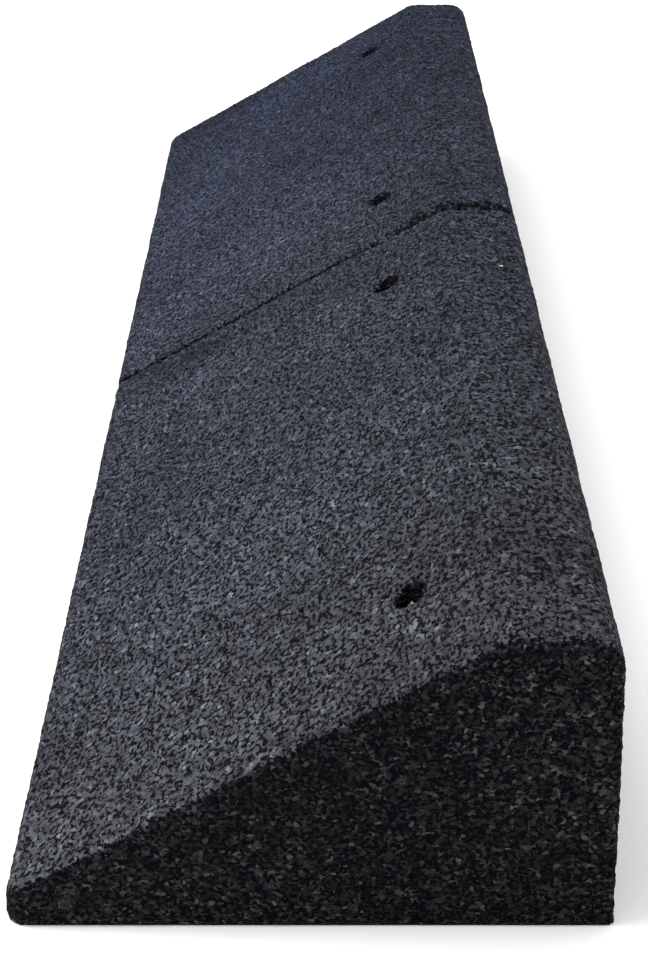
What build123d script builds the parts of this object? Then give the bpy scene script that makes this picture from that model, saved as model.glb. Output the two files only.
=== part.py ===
from build123d import *
import os

# Kerb ramp made of two identical wedge modules of bonded rubber granulate, laid end to end.
# Millimetres. X runs from the low edge to the back that stands against the kerb, Y runs along
# the kerb and Z is up. The origin is on the ground, midway between the two modules, below the
# middle of their width.

# Overall size of one module
module_length = 750.0
module_width = 300.0
module_height = 155.0

# Cross-section: a blunt low edge, a straight slope and a flat crest
lip_height = 16.0
crest_width = 55.0

# Free space between the two modules, whose rough ends don't close tight
joint_gap = 3.0

# Two upright fixing holes in each module, for ground anchors
hole_radius = 7.5
hole_to_back = 98.0
hole_to_end = 110.0
hole_mouth_round = 1.5

# Rounded edges, as the moulded granulate leaves its press
lip_nose_round = 8.0
ridge_round = 14.0
back_top_round = 16.0
end_round = 3.0
low_corner_round = 12.0

# Places that follow from the sizes above
low_edge_x = -module_width / 2
back_x = module_width / 2
ridge_x = back_x - crest_width
hole_x = back_x - hole_to_back
hole_from_middle = module_length / 2 - hole_to_end
module_middle_y = (module_length + joint_gap) / 2


def wedge_module(label, middle_y):
    """One wedge module, drilled for its two anchors, with the middle of its length at middle_y."""
    lip_top = (low_edge_x, lip_height)
    ridge = (ridge_x, module_height)
    back_top = (back_x, module_height)
    with BuildPart() as module:
        # Cross-section square to the kerb, with its upper corners rounded
        with BuildSketch(Plane.XZ.offset(-middle_y)):
            with BuildLine():
                Polyline((low_edge_x, 0), lip_top, ridge, back_top, (back_x, 0), close=True)
            make_face()
            for corner, corner_round in (
                (lip_top, lip_nose_round),
                (ridge, ridge_round),
                (back_top, back_top_round),
            ):
                fillet(vertices().sort_by_distance(corner)[0], radius=corner_round)
        extrude(amount=module_length / 2, both=True)

        # Both end faces are rounded off all the way round, except where they meet the ground
        ground_edges = faces().sort_by(Axis.Z)[0].edges()
        end_edges = faces().filter_by(Axis.Y).edges() - ground_edges
        fillet(end_edges, radius=end_round)

        # Fixing holes, upright and right through, with a softened mouth on the slope
        with BuildSketch(Plane.XY):
            with Locations(
                (hole_x, middle_y - hole_from_middle),
                (hole_x, middle_y + hole_from_middle),
            ):
                Circle(hole_radius)
        extrude(amount=module_height, mode=Mode.SUBTRACT)
        hole_mouths = edges().filter_by(GeomType.ELLIPSE)
        fillet(hole_mouths, radius=hole_mouth_round)

        # Seen from above, both corners of the low edge are rounded more
        with BuildSketch(Plane.XY):
            with Locations((0, middle_y)):
                Rectangle(module_width, module_length)
            low_corners = vertices().group_by(Axis.X)[0]
            fillet(low_corners, radius=low_corner_round)
        extrude(amount=module_height, mode=Mode.INTERSECT)
    module.part.label = label
    return module


near_module = wedge_module("near_module", -module_middle_y)
far_module = wedge_module("far_module", module_middle_y)

os.makedirs("parts", exist_ok=True)
export_step(near_module.part, "parts/near_module.step")
export_step(far_module.part, "parts/far_module.step")
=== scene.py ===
"""Looks of a kerb ramp made of two modules of bonded rubber granulate.

The modules are pressed wedges that lie end to end along the kerb, and each stands for
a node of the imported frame. x runs from the low edge to the back, y along the kerb from
the near end to the far one, and z up. Lengths in the classes are in millimetres, as a
maker would write them, and Blender gets metres.
"""

import logging
import math
from collections.abc import Mapping
from dataclasses import dataclass, field
from enum import Enum
from typing import Any

import bmesh
import bpy
import numpy as np
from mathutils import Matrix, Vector, noise


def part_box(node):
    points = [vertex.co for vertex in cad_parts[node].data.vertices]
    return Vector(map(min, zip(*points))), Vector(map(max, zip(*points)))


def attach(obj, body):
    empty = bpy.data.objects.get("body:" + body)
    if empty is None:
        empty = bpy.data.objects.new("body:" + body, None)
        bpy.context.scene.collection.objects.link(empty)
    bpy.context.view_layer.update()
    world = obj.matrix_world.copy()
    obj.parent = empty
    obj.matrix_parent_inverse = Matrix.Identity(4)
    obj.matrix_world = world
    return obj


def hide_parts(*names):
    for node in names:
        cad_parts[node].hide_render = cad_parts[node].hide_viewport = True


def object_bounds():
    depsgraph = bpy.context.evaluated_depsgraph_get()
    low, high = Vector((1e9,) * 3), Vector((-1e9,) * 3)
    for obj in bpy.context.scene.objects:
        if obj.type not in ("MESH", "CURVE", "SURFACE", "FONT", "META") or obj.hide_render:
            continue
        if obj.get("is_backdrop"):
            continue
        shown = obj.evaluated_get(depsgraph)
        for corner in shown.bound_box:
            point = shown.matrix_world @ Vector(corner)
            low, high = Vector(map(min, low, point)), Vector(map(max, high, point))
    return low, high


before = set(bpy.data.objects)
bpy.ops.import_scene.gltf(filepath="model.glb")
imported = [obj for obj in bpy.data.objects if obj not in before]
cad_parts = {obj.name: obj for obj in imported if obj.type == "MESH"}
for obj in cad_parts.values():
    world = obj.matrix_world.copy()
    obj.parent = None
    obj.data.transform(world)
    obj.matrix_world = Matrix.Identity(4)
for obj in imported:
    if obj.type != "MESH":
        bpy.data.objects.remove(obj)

MM = 0.001
# An effect weaker than this share isn't worked out.
FELT = 0.02
log = logging.getLogger("kerb_ramp")


class Side(Enum):
    """The sides of a module, each with a place of its own on the unrolled map."""

    TOP = "top"
    UNDERSIDE = "underside"
    BACK = "back"
    NEAR_END = "near end"
    FAR_END = "far end"
    NEAR_BORE = "near bore"
    FAR_BORE = "far bore"


def linear(hex_colour: str) -> tuple[float, float, float, float]:
    """Turns an sRGB hex colour into the linear colour that a shader takes.

    Args:
        hex_colour: Six hex digits with a leading #.

    Returns:
        Linear red, green and blue, and an alpha of 1.
    """
    parts = [int(hex_colour[i : i + 2], 16) / 255 for i in (1, 3, 5)]
    red, green, blue = (
        p / 12.92 if p <= 0.04045 else ((p + 0.055) / 1.055) ** 2.4 for p in parts
    )
    return red, green, blue, 1.0


def add_node(
    tree: bpy.types.NodeTree,
    kind: str,
    inputs: Mapping[str | int, Any] | None = None,
    stops: list[tuple[float, str]] | None = None,
    **settings: Any,
) -> bpy.types.Node:
    """Adds one node with its settings and links.

    Args:
        tree: The node tree that gets it.
        kind: The node's type, such as ShaderNodeBump.
        inputs: By input name or number, a value or the output that feeds it.
        stops: For a colour ramp, each stop's place and hex colour.
        settings: The node's own properties.

    Returns:
        The new node.
    """
    node = tree.nodes.new(kind)
    for name, value in settings.items():
        setattr(node, name, value)
    for name, value in (inputs or {}).items():
        if isinstance(value, bpy.types.NodeSocket):
            tree.links.new(value, node.inputs[name])
        else:
            node.inputs[name].default_value = value
    if stops:
        ramp = node.color_ramp.elements
        while len(ramp) < len(stops):
            ramp.new(1.0)
        for stop, (place, colour) in zip(ramp, stops):
            stop.position, stop.color = place, linear(colour)
    return node


def eased(low: float, high: float, values: np.ndarray) -> np.ndarray:
    """A soft step.

    Args:
        low: Where the step starts, and where the result is 0.
        high: Where it ends, and where the result is 1.
        values: What is stepped.

    Returns:
        0 to 1 for each value.
    """
    t = np.clip((values - low) / (high - low), 0.0, 1.0)
    return t * t * (3.0 - 2.0 * t)


@dataclass(frozen=True)
class PressedGranulate:
    """Tyre rubber granulate bonded with polyurethane and pressed in a mould.

    The mould leaves cut rubber grains packed flat, with pits of shadow between them.
    The eye gets a coarse salt-and-pepper grain, matt overall, and near black on the ends.
    The top is grey, partly greyed by the sun and partly painted skylight, bluish as a
    painted sky reflection, and darker towards the far end and the crest as painted shade.
    A stray pale grain shows here and there.
    """

    # Granulate of this kind is cut to 1 to 4 mm. The finest dust of it is too fine to
    # show, so every grain is drawn at the coarse end, and the shreds a little longer
    # than the real ones.
    grain_width: float = 2.7
    grain_length: float = 4.9
    grain_height: float = 2.1
    # How far the outlines of the grains wander, and over what length
    wobble: float = 2.2
    pit_width: float = 2.4
    # Half the width of the widest pit and of the tightest seam, in grain widths
    pit_widest: float = 0.31
    seam_tightest: float = -0.15
    # How softly a pit's rim falls, in grain widths
    rim: tuple[float, float] = (-0.09, 0.1)
    clot_width: float = 8.0
    # How much lighter or darker a clot and a stain are
    clot_tones: tuple[float, float] = (0.66, 1.34)
    stain_width: float = 140.0
    stain_tones: tuple[float, float] = (0.72, 1.15)
    relief: float = 0.6
    # How far in from its seam a grain is domed, in grain widths
    dome: float = 0.4
    # How much a grain's own height counts against its dome
    stand: float = 0.7
    # A cleanly cut grain is smoother than a torn one, so roughness goes by grain.
    cut_roughness: float = 0.5
    torn_roughness: float = 0.9
    # Painted shade in the gaps between the grains, darker than any grain
    pit_shade_colour: str = "#040508"
    grain_colours: tuple[tuple[float, str], ...] = (
        (0.0, "#131315"),
        (0.5, "#1e1e20"),
        (0.85, "#2c2c2e"),
        (0.97, "#3c3d3f"),
        (1.0, "#4a4b4d"),
    )
    # Dust that settled on what faces up, and how much of it
    dust_colour: str = "#212123"
    dust_share: float = 0.62
    # How many times lighter red, green and blue are on what faces up: partly greyed by the
    # sun, partly painted skylight with a bluish painted sky reflection
    bleach_and_painted_skylight: tuple[float, float, float] = (4.4, 4.55, 4.93)
    # The same at the far end of the row, drawn darker as painted shade and bluer as a
    # painted sky reflection
    far_bleach_and_painted_shade: tuple[float, float, float] = (2.2, 2.85, 4.9)
    # From where along the row to where the one turns into the other
    fade: tuple[float, float] = (-700.0, 700.0)
    # What is kept of the lightening at the top: painted shade on the crest and the upper
    # slope
    crest_painted_shade: float = 0.66
    # From which height to which it drops to that
    crest_fade: tuple[float, float] = (70.0, 155.0)
    # What the dark patch keeps of its colour
    patch_tone: float = 0.35
    pale_grain: str = "#c9c8c2"
    # The share of grains that aren't a stray pale one
    own_grains: float = 0.99997

    def material(self) -> bpy.types.Material:
        """Builds the material.

        Returns:
            The material, named for the rubber and how it was made.
        """
        made = bpy.data.materials.new("bonded_rubber_granulate_pressed")
        made.use_nodes = True
        tree = made.node_tree
        tree.nodes.clear()
        place = add_node(tree, "ShaderNodeTexCoord")
        packed = self._packed(tree, place)
        grain, edge = self._grains(tree, packed)
        random = add_node(
            tree, "ShaderNodeSeparateColor", {"Color": grain.outputs["Color"]}
        )
        closed = self._pits(tree, packed, edge)
        colour = self._colour(tree, place, random, closed)

        rough = add_node(
            tree,
            "ShaderNodeMapRange",
            {
                "Value": random.outputs["Green"],
                "To Min": self.cut_roughness,
                "To Max": self.torn_roughness,
            },
        )
        # Each grain is a low dome that stands at its own height above the pits.
        dome = add_node(
            tree,
            "ShaderNodeMapRange",
            {"Value": edge.outputs["Distance"], "From Max": self.dome},
            interpolation_type="SMOOTHSTEP",
        )
        stand = add_node(
            tree,
            "ShaderNodeMath",
            {0: random.outputs["Green"], 1: self.stand, 2: dome.outputs["Result"]},
            operation="MULTIPLY_ADD",
        )
        height = add_node(
            tree,
            "ShaderNodeMath",
            {0: stand.outputs[0], 1: closed.outputs["Result"]},
            operation="MULTIPLY",
        )
        bump = add_node(
            tree,
            "ShaderNodeBump",
            {
                "Height": height.outputs[0],
                "Distance": self.relief * MM,
                "Strength": 1.0,
            },
        )
        shader = add_node(
            tree,
            "ShaderNodeBsdfPrincipled",
            {
                "Base Color": colour.outputs[2],
                "Roughness": rough.outputs["Result"],
                "Normal": bump.outputs["Normal"],
                "IOR": 1.52,
                # Torn rubber is dull, and at a low angle any gloss would grey it.
                "Specular IOR Level": 0.02,
            },
        )
        add_node(
            tree, "ShaderNodeOutputMaterial", {"Surface": shader.outputs["BSDF"]}
        )
        return made

    def _packed(
        self, tree: bpy.types.NodeTree, place: bpy.types.Node
    ) -> bpy.types.NodeSocket:
        """Squeezes space as the press squeezed the grains, with shreds laid lengthwise.

        Args:
            tree: The material's nodes.
            place: The coordinates.

        Returns:
            Coordinates in which every grain is about as long, wide and high.
        """
        wobble = add_node(
            tree,
            "ShaderNodeTexNoise",
            {
                "Vector": place.outputs["Object"],
                "Scale": 1 / (self.wobble * MM),
                "Detail": 1.0,
            },
        )
        shift = add_node(
            tree,
            "ShaderNodeVectorMath",
            {
                0: wobble.outputs["Color"],
                1: (self.wobble * MM,) * 3,
                2: place.outputs["Object"],
            },
            operation="MULTIPLY_ADD",
        )
        squeeze = (
            1.0,
            self.grain_width / self.grain_length,
            self.grain_width / self.grain_height,
        )
        return add_node(
            tree,
            "ShaderNodeVectorMath",
            {0: shift.outputs[0], 1: squeeze},
            operation="MULTIPLY",
        ).outputs[0]

    def _grains(
        self, tree: bpy.types.NodeTree, packed: bpy.types.NodeSocket
    ) -> tuple[bpy.types.Node, bpy.types.Node]:
        """Packs the grains.

        Args:
            tree: The material's nodes.
            packed: The squeezed coordinates.

        Returns:
            The pattern with a random colour for each grain, and the one with the
            distance from each grain's edge.
        """
        common = {"Vector": packed, "Scale": 1 / (self.grain_width * MM)}
        grain = add_node(tree, "ShaderNodeTexVoronoi", common)
        edge = add_node(
            tree, "ShaderNodeTexVoronoi", common, feature="DISTANCE_TO_EDGE"
        )
        return grain, edge

    def _pits(
        self,
        tree: bpy.types.NodeTree,
        packed: bpy.types.NodeSocket,
        edge: bpy.types.Node,
    ) -> bpy.types.Node:
        """Opens pits where grains don't meet.

        Args:
            tree: The material's nodes.
            packed: The squeezed coordinates.
            edge: The distance from each grain's edge.

        Returns:
            The node whose result is 0 in a pit and 1 on a grain.
        """
        hollow = add_node(
            tree,
            "ShaderNodeTexNoise",
            {"Vector": packed, "Scale": 1 / (self.pit_width * MM), "Detail": 1.0},
        )
        # The hollows widen the seams between grains here and close them there.
        width = add_node(
            tree,
            "ShaderNodeMapRange",
            {
                "Value": hollow.outputs["Fac"],
                "From Min": 0.35,
                "From Max": 0.65,
                "To Min": self.pit_widest,
                "To Max": self.seam_tightest,
            },
        )
        depth = add_node(
            tree,
            "ShaderNodeMath",
            {0: edge.outputs["Distance"], 1: width.outputs["Result"]},
            operation="SUBTRACT",
        )
        return add_node(
            tree,
            "ShaderNodeMapRange",
            {
                "Value": depth.outputs[0],
                "From Min": self.rim[0],
                "From Max": self.rim[1],
            },
            interpolation_type="SMOOTHSTEP",
        )

    def _upward(
        self, tree: bpy.types.NodeTree, place: bpy.types.Node
    ) -> bpy.types.NodeSocket:
        """Finds what faces up, which gets the dust, the greying by the sun and the painted
        skylight.

        Args:
            tree: The material's nodes.
            place: The coordinates.

        Returns:
            1 on the slope and the crest, and 0 on what is upright or faces an end.
        """
        facing = add_node(
            tree, "ShaderNodeSeparateXYZ", {"Vector": place.outputs["Normal"]}
        )
        level = add_node(
            tree,
            "ShaderNodeMapRange",
            {"Value": facing.outputs["Z"], "From Min": 0.25, "From Max": 0.85},
            interpolation_type="SMOOTHSTEP",
        )
        # A face turned to an end gets none of that, so a broken edge at the joint stays
        # dark:
        # partly fresh black rubber, partly painted shade.
        endwise = add_node(
            tree, "ShaderNodeMath", {0: facing.outputs["Y"]}, operation="ABSOLUTE"
        )
        not_end_facing = add_node(
            tree,
            "ShaderNodeMapRange",
            {
                "Value": endwise.outputs[0],
                "From Min": 0.45,
                "From Max": 0.65,
                "To Min": 1.0,
                "To Max": 0.0,
            },
            interpolation_type="SMOOTHSTEP",
        )
        return add_node(
            tree,
            "ShaderNodeMath",
            {0: level.outputs["Result"], 1: not_end_facing.outputs["Result"]},
            operation="MULTIPLY",
        ).outputs[0]

    def _bleach_and_paint_light(
        self,
        tree: bpy.types.NodeTree,
        place: bpy.types.Node,
        upward: bpy.types.NodeSocket,
    ) -> bpy.types.NodeSocket:
        """Works out how much lighter each place is: partly greyed by sun, rain and soles,
        partly painted skylight, with painted shade towards the far end and on the crest.

        Args:
            tree: The material's nodes.
            place: The coordinates.
            upward: 1 on what faces up.

        Returns:
            How many times lighter red, green and blue are.
        """
        where = add_node(
            tree, "ShaderNodeSeparateXYZ", {"Vector": place.outputs["Object"]}
        )
        along = add_node(
            tree,
            "ShaderNodeMapRange",
            {
                "Value": where.outputs["Y"],
                "From Min": self.fade[0] * MM,
                "From Max": self.fade[1] * MM,
            },
        )
        # Darker and bluer towards the far end: painted shade and a painted sky reflection.
        bleach_and_light_along_row = add_node(
            tree,
            "ShaderNodeMix",
            {0: along.outputs["Result"], 4: self.bleach_and_painted_skylight, 5: self.far_bleach_and_painted_shade},
            data_type="VECTOR",
        )
        # Painted shade: the crest and the upper slope are drawn darker, as less light
        # falls there.
        crest_shade = add_node(
            tree,
            "ShaderNodeMapRange",
            {
                "Value": where.outputs["Z"],
                "From Min": self.crest_fade[0] * MM,
                "From Max": self.crest_fade[1] * MM,
                "To Min": 1.0,
                "To Max": self.crest_painted_shade,
            },
        )
        faded = add_node(
            tree,
            "ShaderNodeVectorMath",
            {0: bleach_and_light_along_row.outputs[1], "Scale": crest_shade.outputs["Result"]},
            operation="SCALE",
        )
        return add_node(
            tree,
            "ShaderNodeMix",
            {0: upward, 4: (1.0, 1.0, 1.0), 5: faded.outputs[0]},
            data_type="VECTOR",
        ).outputs[1]

    def _marks(
        self, tree: bpy.types.NodeTree, place: bpy.types.Node
    ) -> bpy.types.NodeSocket:
        """Draws clots, stains and the dark patch.

        Args:
            tree: The material's nodes.
            place: The coordinates.

        Returns:
            How many times lighter or darker they make each place.
        """
        # Clots of finer and coarser grain, and soft stains the size of a hand
        clot = add_node(
            tree,
            "ShaderNodeTexNoise",
            {
                "Vector": place.outputs["Object"],
                "Scale": 1 / (self.clot_width * MM),
                "Detail": 1.0,
            },
        )
        stain = add_node(
            tree,
            "ShaderNodeTexNoise",
            {
                "Vector": place.outputs["Object"],
                "Scale": 1 / (self.stain_width * MM),
                "Detail": 3.0,
                "Roughness": 0.6,
            },
        )
        tones = []
        for mark, (dark, light) in ((clot, self.clot_tones), (stain, self.stain_tones)):
            tone = add_node(
                tree,
                "ShaderNodeMapRange",
                {
                    "Value": mark.outputs["Fac"],
                    "From Min": 0.3,
                    "From Max": 0.7,
                    "To Min": dark,
                    "To Max": light,
                },
            )
            tones.append(tone.outputs["Result"])
        both = add_node(
            tree, "ShaderNodeMath", {0: tones[0], 1: tones[1]}, operation="MULTIPLY"
        )
        # The patch by the low corner of the far end is drawn darker.
        dark_patch = add_node(tree, "ShaderNodeAttribute", attribute_name="dark_patch")
        patch_factor = add_node(
            tree,
            "ShaderNodeMapRange",
            {"Value": dark_patch.outputs["Fac"], "To Min": 1.0, "To Max": self.patch_tone},
        )
        return add_node(
            tree,
            "ShaderNodeMath",
            {0: both.outputs[0], 1: patch_factor.outputs["Result"]},
            operation="MULTIPLY",
        ).outputs[0]

    def _colour(
        self,
        tree: bpy.types.NodeTree,
        place: bpy.types.Node,
        random: bpy.types.Node,
        closed: bpy.types.Node,
    ) -> bpy.types.Node:
        """Colours the grains and paints shade into the pits.

        Args:
            tree: The material's nodes.
            place: The coordinates.
            random: Random numbers for each grain.
            closed: 0 in a pit and 1 on a grain.

        Returns:
            The node that mixes the final colour.
        """
        tone = add_node(
            tree,
            "ShaderNodeValToRGB",
            {"Fac": random.outputs["Red"]},
            stops=list(self.grain_colours),
        )
        upward = self._upward(tree, place)
        settled = add_node(
            tree,
            "ShaderNodeMath",
            {0: upward, 1: self.dust_share},
            operation="MULTIPLY",
        )
        dusty = add_node(
            tree,
            "ShaderNodeMix",
            {
                0: settled.outputs[0],
                6: tone.outputs["Color"],
                7: linear(self.dust_colour),
            },
            data_type="RGBA",
        )
        # What faces up is made lighter: partly greyed by the sun, partly painted skylight.
        bleached_and_lit = add_node(
            tree,
            "ShaderNodeVectorMath",
            {0: dusty.outputs[2], 1: self._bleach_and_paint_light(tree, place, upward)},
            operation="MULTIPLY",
        )
        marked = add_node(
            tree,
            "ShaderNodeVectorMath",
            {0: bleached_and_lit.outputs[0], "Scale": self._marks(tree, place)},
            operation="SCALE",
        )
        # The pits between the grains are painted near black: painted shade.
        pitted = add_node(
            tree,
            "ShaderNodeMix",
            {
                0: closed.outputs["Result"],
                6: linear(self.pit_shade_colour),
                7: marked.outputs[0],
            },
            data_type="RGBA",
        )
        # A stray pale grain here and there comes from another batch.
        stray = add_node(
            tree,
            "ShaderNodeMath",
            {0: random.outputs["Blue"], 1: self.own_grains},
            operation="GREATER_THAN",
        )
        return add_node(
            tree,
            "ShaderNodeMix",
            {0: stray.outputs[0], 6: pitted.outputs[2], 7: linear(self.pale_grain)},
            data_type="RGBA",
        )


@dataclass(frozen=True)
class StudioPaper:
    """Matt coated paper, rolled out as a floor. The eye gets a plain pale ground."""

    colour: str = "#f4f4f4"

    def material(self) -> bpy.types.Material:
        """Builds the material.

        Returns:
            The material of the floor.
        """
        made = bpy.data.materials.new("studio_paper_matt_rolled")
        made.use_nodes = True
        tree = made.node_tree
        tree.nodes.clear()
        shader = add_node(
            tree,
            "ShaderNodeBsdfPrincipled",
            {
                "Base Color": linear(self.colour),
                "Roughness": 0.9,
                "Specular IOR Level": 0.2,
            },
        )
        add_node(
            tree, "ShaderNodeOutputMaterial", {"Surface": shader.outputs["BSDF"]}
        )
        return made


@dataclass
class RampModule:
    """One pressed wedge, which stands for its CAD node and rides on its body."""

    node: str
    body: str
    seed: int
    # Sizes of the cross-section
    lip_height: float = 16.0
    crest_width: float = 55.0
    # Anchor holes
    hole_radius: float = 7.5
    hole_to_back: float = 98.0
    hole_to_end: float = 110.0
    # How fine the skin is, and how wide the finer strip along its edges
    grid: float = 2.5
    fine_strip: float = 7.0
    # The relief of its grains and its grit, and how much longer grains are along y
    grain: float = 3.4
    grain_relief: float = 0.7
    grain_stretch: float = 1.6
    grit_relief: float = 0.12
    # The slow waves of its sides
    wave: float = 45.0
    wave_relief: float = 0.5
    # The crumbs lost along its edges
    crumb: float = 5.5
    crumb_depth: float = 1.3
    crumb_strip: float = 6.0
    # From how far above the ground to how far the relief sets in
    foot: tuple[float, float] = (0.5, 4.0)
    # How far it may stand proud of the mould's sizes
    slack: float = 0.6
    # How far the mouths of the holes are worn along the kerb, how deep and how wide
    mouth_wear: float = 4.6
    mouth_depth: float = 40.0
    mouth_reach: float = 12.0
    # The dark patch, and the size of the blotches in it
    patch_from_edge: float = 60.0
    patch_from_end: float = 22.0
    patch_width: float = 45.0
    patch_length: float = 34.0
    patch_blotch: float = 30.0
    # The end at which its crest got broken against the other module
    knocked: Side = Side.NEAR_END
    # The size of the break, and from which share of the height up it starts
    knock_depth: float = 9.0
    knock_reach: float = 9.0
    knock_width: float = 14.0
    knock_from: float = 0.7
    low: Vector = field(init=False)
    high: Vector = field(init=False)

    def __post_init__(self) -> None:
        """Takes the module's place from the frame."""
        self.low, self.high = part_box(self.node)

    @property
    def holes(self) -> list[tuple[float, float]]:
        """Finds the anchor holes.

        Returns:
            The x and y of each hole's axis, in metres, the near one first.
        """
        x = self.high.x - self.hole_to_back * MM
        inset = self.hole_to_end * MM
        return [(x, self.low.y + inset), (x, self.high.y - inset)]

    def build(self, rubber: bpy.types.Material) -> bpy.types.Object:
        """Args:
            rubber: What it is made of.

        Returns:
            The finished piece.
        """
        piece = self._skin()
        self._refine_edges(piece.data)
        self._roughen(piece.data)
        self._coarsen_underside(piece)
        self._unroll(piece.data)
        self._wear_mouths(piece.data)
        self._knock_crest(piece.data)
        self._darken_corner(piece.data)
        piece.data.materials.clear()
        piece.data.materials.append(rubber)
        piece.data.shade_smooth()
        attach(piece, self.body)
        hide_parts(self.node)
        return piece

    def _bake_modifiers(self, piece: bpy.types.Object) -> None:
        """Swaps a piece's mesh for the one that its modifiers make.

        Args:
            piece: The piece, which loses its modifiers.
        """
        shown = piece.evaluated_get(bpy.context.evaluated_depsgraph_get())
        made = bpy.data.meshes.new_from_object(shown)
        piece.modifiers.clear()
        piece.data = made

    def _skin(self) -> bpy.types.Object:
        """Covers the CAD wedge with an even grid.

        Returns:
            A new object with the skin.
        """
        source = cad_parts[self.node].data.copy()
        piece = bpy.data.objects.new(f"{self.node}_granulate", source)
        bpy.context.scene.collection.objects.link(piece)
        cover = piece.modifiers.new("grid", "REMESH")
        cover.mode = "VOXEL"
        cover.voxel_size = self.grid * MM
        cover.use_smooth_shade = True
        self._bake_modifiers(piece)
        return piece

    def _points(self, mesh: bpy.types.Mesh) -> np.ndarray:
        """Reads where a mesh's vertices are.

        Args:
            mesh: The mesh.

        Returns:
            One row for each vertex, in metres.
        """
        found = np.empty(len(mesh.vertices) * 3, np.float64)
        mesh.vertices.foreach_get("co", found)
        return found.reshape(-1, 3)

    def _depths(self, points: np.ndarray) -> tuple[np.ndarray, np.ndarray]:
        """How deep points lie behind the ends and behind the sloped and upright sides.

        Args:
            points: One row for each point, in metres.

        Returns:
            The depth behind the nearer end, and behind the nearest other visible side.
        """
        x, y, z = points.T
        ends = np.minimum(y - self.low.y, self.high.y - y)
        run = self.high.x - self.low.x - self.crest_width * MM
        rise = self.high.z - self.low.z - self.lip_height * MM
        long = math.hypot(run, rise)
        foot = z - self.low.z - self.lip_height * MM
        slope = ((x - self.low.x) * rise - foot * run) / long
        sides = np.minimum.reduce(
            [slope, self.high.z - z, self.high.x - x, x - self.low.x]
        )
        return np.maximum(ends, 0.0), np.maximum(sides, 0.0)

    def _edge_nearness(self, points: np.ndarray, reach: float) -> np.ndarray:
        """How near points are to the end edges and to the mouths of the holes.

        Args:
            points: One row for each point, in metres.
            reach: How far an edge is felt, in millimetres.

        Returns:
            1 on an edge, falling to 0 at reach.
        """
        ends, sides = self._depths(points)
        away = np.maximum(ends, sides)
        for x, y in self.holes:
            off = np.hypot(points[:, 0] - x, points[:, 1] - y) - self.hole_radius * MM
            away = np.minimum(away, np.maximum(np.abs(off), sides))
        return 1.0 - eased(0.0, reach * MM, away)

    def _refine_edges(self, mesh: bpy.types.Mesh) -> None:
        """Halves the grid along the ends and the hole mouths, where crumbs show.

        Args:
            mesh: The module's skin.
        """
        near = self._edge_nearness(self._points(mesh), self.fine_strip) > FELT
        form = bmesh.new()
        form.from_mesh(mesh)
        edges = [e for e in form.edges if all(near[v.index] for v in e.verts)]
        bmesh.ops.subdivide_edges(form, edges=edges, cuts=1, use_grid_fill=True)
        bmesh.ops.triangulate(
            form, faces=[f for f in form.faces if len(f.verts) > 4]
        )
        form.to_mesh(mesh)
        form.free()

    def _roughen(self, mesh: bpy.types.Mesh) -> None:
        """Pushes grains out, lets the sides wave a little and breaks crumbs off.

        Args:
            mesh: The module's skin.
        """
        points = self._points(mesh)
        normals = np.empty(len(points) * 3, np.float64)
        mesh.vertices.foreach_get("normal", normals)
        normals = normals.reshape(-1, 3)
        dice = np.random.default_rng(self.seed)

        grain, crumb, wave = self.grain * MM, self.crumb * MM, self.wave * MM
        small_crumb = crumb * 0.45
        usual_distance = 0.45
        height = np.empty(len(points))
        for i, point in enumerate(points):
            spot = Vector(point)
            shred = Vector((point[0], point[1] / self.grain_stretch, point[2]))
            first = noise.voronoi(shred / grain)[0][0]
            height[i] = self.grain_relief * (usual_distance - first)
            height[i] += self.wave_relief * noise.noise(spot / wave)
        near = self._edge_nearness(points, self.crumb_strip)
        for i in np.flatnonzero(near > FELT):
            spot = Vector(points[i])
            lost = noise.noise(spot / crumb) + 0.6 * noise.noise(spot / small_crumb)
            height[i] -= self.crumb_depth * near[i] * max(0.0, lost + 0.1)
        height += dice.normal(0.0, self.grit_relief, len(points))

        # The underside stays flat on the ground.
        start, full = self.foot
        under = 1.0 - eased(start * MM, full * MM, points[:, 2] - self.low.z)
        height *= 1.0 - under
        moved = points + normals * (height * MM)[:, None]
        # Points slide within the surface too, so that the grid doesn't show.
        moved += dice.uniform(-0.3, 0.3, points.shape) * self.grid * MM * (
            (1.0 - under)[:, None] * (1.0 - np.abs(normals))
        )
        low, high = np.array(self.low), np.array(self.high)
        slack = self.slack * MM
        moved = np.clip(moved, [low[0] - slack, low[1] - slack, low[2]], high + slack)
        mesh.vertices.foreach_set("co", moved.ravel())
        mesh.update()

    def _wear_mouths(self, mesh: bpy.types.Mesh) -> None:
        """Wears the mouths of the anchor holes oval along the kerb, most at the top.

        Args:
            mesh: The module's skin.
        """
        points = self._points(mesh)
        x, y, z = points.T
        sides = self._depths(points)[1]
        for axis_x, axis_y in self.holes:
            off_x, off_y = x - axis_x, y - axis_y
            # The least distance only keeps the division from failing.
            from_axis = np.maximum(np.hypot(off_x, off_y), 0.1 * MM)
            radius = self.hole_radius * MM
            beyond = (from_axis - radius) / (self.mouth_reach * MM)
            share = 1.0 - np.clip(beyond, 0.0, 1.0)
            share *= 1.0 - eased(0.0, self.mouth_depth * MM, sides)
            points[:, 1] += self.mouth_wear * MM * share * off_y / from_axis
        mesh.vertices.foreach_set("co", points.ravel())
        mesh.update()

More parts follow.
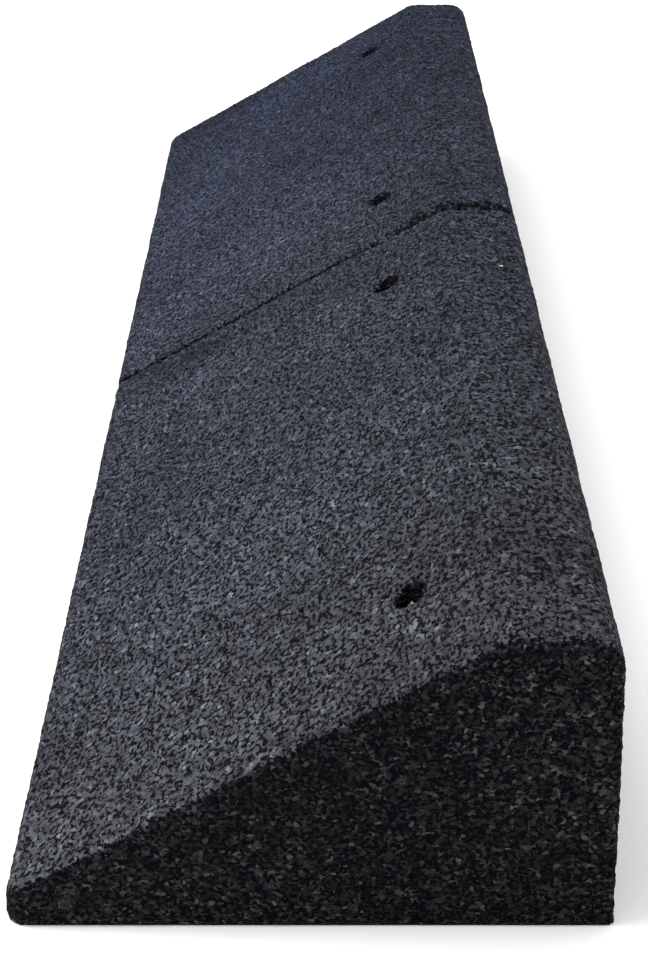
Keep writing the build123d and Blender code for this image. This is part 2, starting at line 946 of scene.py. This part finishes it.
    def _knock_crest(self, mesh: bpy.types.Mesh) -> None:
        """Breaks the crest away at the knocked end, and hardly down the slope.

        Args:
            mesh: The module's skin.
        """
        points = self._points(mesh)
        x, y, z = points.T
        near = self.knocked is Side.NEAR_END
        from_end = (y - self.low.y if near else self.high.y - y) / MM
        width = self.knock_width * MM
        ragged = [noise.noise(Vector((place, 0.0, 0.0)) / width) for place in x]
        reach = self.knock_reach * (1.0 + 0.5 * np.array(ragged))
        share = 1.0 - np.clip(from_end / reach, 0.0, 1.0)
        rise = (z - self.low.z) / (self.high.z - self.low.z)
        upper = eased(self.knock_from, 1.0, rise)
        points[:, 2] -= self.knock_depth * MM * share * upper
        mesh.vertices.foreach_set("co", points.ravel())
        mesh.update()

    def _darken_corner(self, mesh: bpy.types.Mesh) -> None:
        """Marks the dark patch by the low corner of the far end.

        Args:
            mesh: The module's skin.
        """
        x, y, z = self._points(mesh).T
        over = (x - self.low.x) / MM - self.patch_from_edge
        along = (self.high.y - y) / MM - self.patch_from_end
        spread = np.exp(
            -((over / self.patch_width) ** 2) - (along / self.patch_length) ** 2
        )
        blotch = self.patch_blotch * MM
        patchy = [
            0.75 + 0.6 * noise.noise(Vector(spot) / blotch) for spot in zip(x, y, z)
        ]
        dark_patch = np.clip(spread * np.array(patchy), 0.0, 1.0)
        layer = mesh.attributes.new("dark_patch", "FLOAT", "POINT")
        layer.data.foreach_set("value", dark_patch)

    def _coarsen_underside(self, piece: bpy.types.Object) -> None:
        """Thins the grid on the flat underside, which shows no grain relief.

        Args:
            piece: The module's piece.
        """
        x, y, z = self._points(piece.data).T
        rim = 6 * MM
        inner = (
            (z < self.low.z + 0.3 * MM)
            & (x > self.low.x + rim)
            & (x < self.high.x - rim)
            & (y > self.low.y + rim)
            & (y < self.high.y - rim)
        )
        group = piece.vertex_groups.new(name="underside")
        group.add(np.flatnonzero(inner).tolist(), 1.0, "REPLACE")
        thin = piece.modifiers.new("thin", "DECIMATE")
        # Nine faces in ten go there.
        thin.ratio = 1.0 - 0.9 * float(inner.mean())
        thin.vertex_group = group.name
        self._bake_modifiers(piece)
        piece.vertex_groups.clear()

    def _sides(self, centres: np.ndarray) -> np.ndarray:
        """Says which side of the module each face belongs to.

        Args:
            centres: The middle of each face, one row each, in metres.

        Returns:
            The number of each face's side, in the order of Side.
        """
        x, y, z = centres.T
        sides = self._depths(centres)[1]
        back, under = self.high.x - x, z - self.low.z
        depth = {
            Side.TOP: np.where(sides < back, sides, 1.0),
            Side.UNDERSIDE: under,
            Side.BACK: back,
            Side.NEAR_END: y - self.low.y,
            Side.FAR_END: self.high.y - y,
            Side.NEAR_BORE: np.ones(len(x)),
            Side.FAR_BORE: np.ones(len(x)),
        }
        # A bore's wall lies near its radius, below the mouth and off the ground.
        for side, (axis_x, axis_y) in zip((Side.NEAR_BORE, Side.FAR_BORE), self.holes):
            wall = np.hypot(x - axis_x, y - axis_y) < (self.hole_radius + 1.0) * MM
            depth[side][wall & (sides > 2.5 * MM) & (under > 0.2 * MM)] = -1.0
        return np.argmin([depth[side] for side in Side], axis=0)

    def _unroll(self, mesh: bpy.types.Mesh) -> None:
        """Lays every side on one map at one scale, with free room between them.

        Args:
            mesh: The module's skin.
        """
        points = self._points(mesh) / MM
        corners = np.empty(len(mesh.loops), np.int64)
        mesh.loops.foreach_get("vertex_index", corners)
        counts = np.empty(len(mesh.polygons), np.int64)
        mesh.polygons.foreach_get("loop_total", counts)
        centres = np.empty(len(mesh.polygons) * 3)
        mesh.polygons.foreach_get("center", centres)
        centres = centres.reshape(-1, 3)
        side = np.repeat(self._sides(centres), counts)
        middle = np.repeat(centres, counts, axis=0) / MM

        x, y, z = points[corners].T
        low_x, low_y, low_z = np.array(self.low) / MM
        width, length, height = np.array(self.high - self.low) / MM
        x, y, z = x - low_x, y - low_y, z - low_z
        # Seen at this tilt, the crest, the slope and the upright lip keep some width.
        tilt = math.radians(20.0)
        over = x * math.cos(tilt) + z * math.sin(tilt)
        room = 8.0
        reach = width * math.cos(tilt) + height * math.sin(tilt) + room
        above = length + room
        laid = {
            Side.TOP: (over, y),
            Side.UNDERSIDE: (reach + x, y),
            Side.BACK: (reach + width + room + z, y),
            Side.NEAR_END: (x, above + z),
            Side.FAR_END: (width + room + x, above + z),
        }
        strip = 2 * (width + room)
        for bore, (axis_x, axis_y) in zip((Side.NEAR_BORE, Side.FAR_BORE), self.holes):
            east, north = axis_x / MM, axis_y / MM
            at = np.arctan2(middle[:, 1] - north, middle[:, 0] - east)
            corner_x, corner_y = points[corners][:, :2].T
            turn = np.arctan2(corner_y - north, corner_x - east)
            # A face that lies across the seam keeps all its corners on one side of it.
            turn = at + (turn - at + math.pi) % (2 * math.pi) - math.pi
            round_it = (turn + math.pi) * self.hole_radius
            laid[bore] = (strip + room + round_it, above + z)
            strip += 2 * math.pi * self.hole_radius + 2 * room
        places = np.empty((len(corners), 2))
        for number, name in enumerate(Side):
            chosen = side == number
            for column, values in enumerate(laid[name]):
                places[chosen, column] = values[chosen]
        sheet = max(reach + width + height + 3 * room, length + height + 3 * room)
        layer = mesh.uv_layers.new(name="OFBake")
        layer.data.foreach_set("uv", ((places + room / 2) / sheet).ravel())


@dataclass
class Studio:
    """A pale paper floor, soft light from above and all round, and the camera.

    The tilt is in degrees, and the floor and the key light are sized in metres.
    """

    floor_side: float = 40.0
    camera_x: float = 7.2
    camera_before_end: float = 1093.4
    camera_height: float = 672.6
    camera_tilt: float = 21.68
    focal_length: float = 97.2
    # Where the key light hangs and what it points at, from the middle of the object
    key_place: tuple[float, float, float] = (-0.85, -0.5, 2.1)
    key_aim: tuple[float, float, float] = (0.0, -0.4, 0.0)
    key_watts: float = 38.0
    key_side: float = 1.3
    sky: float = 1.22
    sky_colour: str = "#ffffff"

    def build(self, paper: bpy.types.Material) -> None:
        """Sets up the floor, the lights and the camera.

        Args:
            paper: What the floor is made of.
        """
        low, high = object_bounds()
        centre = (low + high) / 2
        self._floor(paper, low.z)
        self._key(centre)
        self._sky()
        self._camera(low)

    def _floor(self, paper: bpy.types.Material, height: float) -> None:
        """Rolls out the paper under the object.

        Args:
            paper: What the floor is made of.
            height: The height of the ground, in metres.
        """
        form = bmesh.new()
        half = self.floor_side / 2
        bmesh.ops.create_grid(form, x_segments=8, y_segments=8, size=half)
        mesh = bpy.data.meshes.new("studio_floor")
        form.to_mesh(mesh)
        form.free()
        mesh.materials.append(paper)
        floor = bpy.data.objects.new("studio_floor", mesh)
        floor.location.z = height - 0.1 * MM
        bpy.context.scene.collection.objects.link(floor)
        floor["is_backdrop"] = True

    def _key(self, centre: Vector) -> None:
        """Hangs the square soft light.

        Args:
            centre: The middle of the object.
        """
        lamp = bpy.data.lights.new("key", "AREA")
        lamp.shape, lamp.size, lamp.energy = "SQUARE", self.key_side, self.key_watts
        place, aim = centre + Vector(self.key_place), centre + Vector(self.key_aim)
        hung = bpy.data.objects.new("key", lamp)
        hung.location = place
        hung.rotation_mode = "QUATERNION"
        hung.rotation_quaternion = (aim - place).to_track_quat("-Z", "Y")
        bpy.context.scene.collection.objects.link(hung)

    def _sky(self) -> None:
        """Fills the room with even white light."""
        world = bpy.data.worlds.new("studio_air")
        world.use_nodes = True
        tree = world.node_tree
        tree.nodes.clear()
        air = add_node(
            tree,
            "ShaderNodeBackground",
            {"Color": linear(self.sky_colour), "Strength": self.sky},
        )
        add_node(tree, "ShaderNodeOutputWorld", {"Surface": air.outputs[0]})
        bpy.context.scene.world = world

    def _camera(self, low: Vector) -> None:
        """Stands the camera before the near end, looking along the kerb and down.

        Args:
            low: The object's lowest corner.
        """
        lens = bpy.data.cameras.new("camera")
        lens.sensor_width, lens.lens = 36.0, self.focal_length
        lens.clip_start, lens.clip_end = 0.05, 100.0
        camera = bpy.data.objects.new("camera", lens)
        camera.location = (
            self.camera_x * MM,
            low.y - self.camera_before_end * MM,
            self.camera_height * MM,
        )
        camera.rotation_euler = (math.radians(90.0 - self.camera_tilt), 0.0, 0.0)
        bpy.context.scene.collection.objects.link(camera)
        bpy.context.scene.camera = camera


def main() -> None:
    """Builds the modules and the studio."""
    logging.basicConfig(level=logging.INFO, format="%(name)s: %(message)s")
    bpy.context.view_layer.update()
    rubber = PressedGranulate().material()
    joint_ends = {"near_module": Side.FAR_END, "far_module": Side.NEAR_END}
    for seed, (name, joint_end) in enumerate(joint_ends.items(), start=11):
        piece = RampModule(name, name, seed, knocked=joint_end).build(rubber)
        log.info("%s: %d faces", piece.name, len(piece.data.polygons))
    Studio().build(StudioPaper().material())
    bpy.context.scene.view_settings.view_transform = "Standard"


if __name__ == "__main__":
    main()
